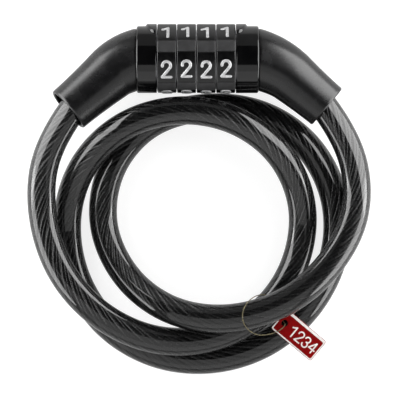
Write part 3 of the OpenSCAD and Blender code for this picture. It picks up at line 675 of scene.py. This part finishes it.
def make_dial(number, turned):
    """Dial ring: crowned number faces with rounded grip bands between them, both rims rounded. turned is how far
    this dial stands off the others, in degrees."""
    x_mid = DIAL_AT[number - 1]
    rim, half = 0.5, DIAL_W / 2
    t = np.radians(np.array([0, 22, 45, 67, 90]))
    rise = rim * (1 - np.cos(t))
    x = np.concatenate([rise - half, np.linspace(-half + 1.2, half - 1.2, 5), half - rise[::-1]])
    drop = np.concatenate([rim * (1 - np.sin(t)), np.zeros(5), rim * (1 - np.sin(t[::-1]))])
    one = np.concatenate([np.linspace(-FACE_EDGE, FACE_EDGE, 36), FACE_EDGE + np.array([0.25, 0.5]),
                          np.linspace(FACE_EDGE + 1.2, FACE_STEP - FACE_EDGE - 1.2, 12),
                          FACE_STEP - FACE_EDGE - np.array([0.5, 0.25])])
    lean = np.concatenate([FACE_AT + k * FACE_STEP + one for k in range(FACES)])
    r, band = dial_profile(lean)
    turn = np.radians(turned - lean)
    rr = r[None, :] - drop[:, None]
    outer = about_axis(x_mid + x[:, None], rr, turn[None, :] + 0 * rr)
    inner = [about_axis(x_mid + s * half, np.full(len(turn), DIAL_BORE_R), turn) for s in (1, -1)]
    points = np.concatenate([outer, inner]).reshape(-1, 3)
    columns = len(turn)
    faces = outward(points, quads(len(x) + len(inner), columns, True, True))
    row, column = np.divmod(np.arange(len(faces)), columns)
    in_band = band[column] & band[(column + 1) % columns] & (row < len(x) - 1)
    piece = add_mesh(f"number_dial_{number}", points, [(faces[~in_band], 0), (faces[in_band], 1)],
                     [DIAL_BLACK, GRIP_BLACK], crease=28)
    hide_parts(f"dial_{number}")
    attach(piece, f"dial_{number}")

    ridges = []
    for k in range(FACES):
        middle = math.radians(FACE_AT + k * FACE_STEP - turned)
        low_by = 0.7 if k != 1 else -2.3        # how far below its face's middle a digit stands
        for stroke in STROKES[(k + 1) % FACES + 1]:
            p, body, caps = ridge(stroke_line(stroke) * DIGIT_H, 0.6, 0.32)
            off = low_by - p[:, 1]
            up = CROWN_AT - CROWN_R + np.sqrt(CROWN_R ** 2 - off ** 2) + p[:, 2]
            y = -(up * math.sin(middle) + off * math.cos(middle))
            z = up * math.cos(middle) - off * math.sin(middle)
            ridges.append((HEAD + np.stack([x_mid + p[:, 0], y, AXIS_Z + z], -1), body, caps))
    numbers = add_ridges(f"dial_numbers_{number}", ridges, SILVER)
    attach(numbers, f"dial_{number}")


# ---------------------------------------------------------------- tag and thread

TAG_HOLE = np.array([37.5, -111.9])
TAG_TURN, TAG_Z, TAG_T = math.radians(-40), 12.9, 0.8
TAG_NEAR, TAG_FAR, TAG_HALF, TAG_CORNER, HOLE_R = -3.2, 18.8, 5.4, 1.0, 1.4     # all from the hole's middle
PLY = 1.6
THREAD = np.array([
    [37.6, -112.2, 13.3], [37.2, -113.2, 14.9], [34.5, -115.1, 17.6], [29.8, -116.2, 22], [25.6, -116, 26],
    [22, -114, 29.6], [19.6, -110.5, 31.8], [19.3, -106.5, 32], [20.8, -103, 30.5], [23.6, -100.5, 27.4],
    [27.2, -99.4, 23], [30.8, -100.4, 19], [33.6, -103, 17], [34.9, -106.3, 15.3], [35.5, -108.9, 12.5],
    [36.8, -111, 12.1]]) + HEAD


def tag_point(u, v, z):
    """From along and across the tag, from its hole, to the shared frame."""
    c, s = math.cos(TAG_TURN), math.sin(TAG_TURN)
    return HEAD + np.stack([TAG_HOLE[0] + u * c - v * s, TAG_HOLE[1] + u * s + v * c, z + 0 * u], -1)


def rounded_loop(angle, near, far, low, high, corner):
    """Where the ray at each angle from the hole leaves a rectangle with rounded corners: the nearest of the four
    sides, or the corner's circle where the ray passes it."""
    cu, cv = np.cos(angle), np.sin(angle)
    with np.errstate(divide="ignore"):
        reach = np.minimum(np.where(cu >= 0, far / cu, near / cu), np.where(cv >= 0, high / cv, low / cv))
    u, v = reach * cu, reach * cv
    for uc, vc, su, sv in ((far - corner, high - corner, 1, 1), (near + corner, high - corner, -1, 1),
                           (near + corner, low + corner, -1, -1), (far - corner, low + corner, 1, -1)):
        inside = (su * (u - uc) > 0) & (sv * (v - vc) > 0)
        along = uc * cu + vc * cv
        hit = along + np.sqrt(np.maximum(0, along ** 2 - (uc ** 2 + vc ** 2 - corner ** 2)))
        u, v = np.where(inside, hit * cu, u), np.where(inside, hit * cv, v)
    return u, v


def make_tag():
    """Plate with softened edges and a hole, a printed border near its edge, and four raised digits."""
    corners = [math.atan2(v, u) for u in (TAG_NEAR, TAG_FAR) for v in (-TAG_HALF, TAG_HALF)]
    angle = np.concatenate([np.linspace(0, 2 * math.pi, 96, endpoint=False)]
                           + [np.mod(c + np.linspace(-0.14, 0.14, 21), 2 * math.pi) for c in corners])
    angle = np.unique(np.round(angle, 5))

    def inset(by, corner, high):
        return rounded_loop(angle, TAG_NEAR + by, TAG_FAR - by, -TAG_HALF + by, TAG_HALF - high, corner)

    soft = 0.12
    edge, top_edge = inset(0.0, TAG_CORNER, 0.0), inset(soft, TAG_CORNER - soft, soft)
    print_out, print_in = inset(0.15, 0.85, 0.15), inset(0.7, 0.6, 1.25)
    hole, hole_top = [(r * np.cos(angle), r * np.sin(angle)) for r in (HOLE_R, HOLE_R + soft)]
    top, low = TAG_Z + TAG_T, TAG_Z
    loops = [(hole, low), (hole, top - soft), (hole_top, top), (print_in, top), (print_out, top), (top_edge, top),
             (edge, top - soft), (edge, low + soft), (top_edge, low), (hole_top, low)]
    points = np.concatenate([tag_point(u, v, z) for (u, v), z in loops])
    faces = outward(points, quads(len(loops), len(angle), True, True))
    border = np.arange(len(faces)) // len(angle) == 3
    piece = add_mesh("number_tag", points, [(faces[~border], 0), (faces[border], 1)], [TAG_RED, TAG_WHITE], crease=30)
    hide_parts("tag_plate")
    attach(piece, "tag")
    ridges = []
    for place, digit in enumerate((1, 2, 3, 4)):
        for stroke in STROKES[digit]:
            p, body, caps = ridge(stroke_line(stroke) * TAG_DIGIT_H, 0.3, 0.035)
            ridges.append((tag_point(5.2 + 3.5 * place + p[:, 0], p[:, 1] - 0.35, top + np.maximum(p[:, 2], -0.05)),
                           body, caps))
    digits = add_ridges("tag_numbers", ridges, TAG_WHITE)
    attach(digits, "tag")
    return piece, digits


def make_thread():
    """Two-ply thread along the closed loop, from the hole round the cable and back. Its radius swells and shrinks
    twice in a turn, and that outline turns once in each ply's length."""
    n = len(THREAD)
    line = by_length(smooth_route(THREAD[np.arange(-1, n + 2) % n], 10), 0.35)
    thread, _, _ = add_tube("tag_cord", line, lambda s, a: 0.185 + 0.045 * np.abs(np.cos(a)) + 0 * s, 10,
                            THREAD_OLIVE, twist=2 * math.pi / PLY, crease=80)
    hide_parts("tag_thread")
    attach(thread, "lock_body")


# ---------------------------------------------------------------- inner pieces, floor and finish

def dress_inner():
    """Metal finishes for the pieces inside the head."""
    finish = ((STEEL, "lock_barrel plug_pin anchor_pin_left anchor_pin_right ferrule_pin_left ferrule_pin_right "
                      "detent_balls"),
              (ALLOY, "anchor_left anchor_right ferrule_left ferrule_right code_ring_1 code_ring_2 code_ring_3 "
                      "code_ring_4"),
              (SPRING_STEEL, "sleeve_clip_left sleeve_clip_right dial_washers dial_retainer detent_springs"))
    for material, names in finish:
        for name in names.split():
            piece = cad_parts[name]
            if not piece.data.materials:
                piece.data.materials.append(material)
            for slot in piece.material_slots:
                slot.material = material


FLOOR_HALF, FLOOR_Z, WALL_TOP = 6, -0.0002, 6       # metres
SEEN_WHITE, GLOSS_WHITE, LIT_WHITE = 0.83, 0.3, 0.3


def make_floor():
    """Plain white floor with a wall far round it. Seen directly or through clear plastic it adds most of its white
    by itself, in gloss a smaller part, and the rest is lit, so it keeps the object's shadow."""
    mesh = bpy.data.meshes.new("floor")
    square = ((-1, -1), (1, -1), (1, 1), (-1, 1))
    corners = [(FLOOR_HALF * x, FLOOR_HALF * y, z) for z in (FLOOR_Z, WALL_TOP) for x, y in square]
    walls = [(k, 4 + k, 4 + (k + 1) % 4, (k + 1) % 4) for k in range(4)]
    mesh.from_pydata(corners, [], [(0, 1, 2, 3)] + walls)
    material, tree, shader = new_material("white_paper")
    ray = tree.nodes.new("ShaderNodeLightPath").outputs
    direct = compute(tree, "MAXIMUM", ray["Is Camera Ray"], ray["Is Transmission Ray"])
    gloss = compute(tree, "MULTIPLY", ray["Is Glossy Ray"], GLOSS_WHITE)
    white = compute(tree, "MULTIPLY_ADD", direct, SEEN_WHITE, gloss)
    fill(tree, shader, {
        "Base Color": (LIT_WHITE, LIT_WHITE, LIT_WHITE, 1), "Roughness": 0.9, "Specular IOR Level": 0.0,
        "Emission Color": (1, 1, 1, 1), "Emission Strength": white})
    mesh.materials.append(material)
    floor = bpy.data.objects.new("floor", mesh)
    bpy.context.scene.collection.objects.link(floor)


make_camera()
make_cable()
tag_pieces = make_tag()
make_thread()
make_sleeve("sleeve_shell_left", LEFT, "sleeve_left")
make_sleeve("sleeve_shell_right", RIGHT, "sleeve_right")
make_collar("collar_ring_left", -LEFT_FACE, -DIALS_HALF, "collar_left", "lock_body")
make_collar("collar_ring_right", RIGHT_FACE, DIALS_HALF, "collar_right", "plug", recess=(RECESS_R, RECESS_END))
for number, turned in enumerate((0.0, 1.3, 0.0, 1.5), 1):
    make_dial(number, turned)
dress_inner()
make_floor()
make_lights()
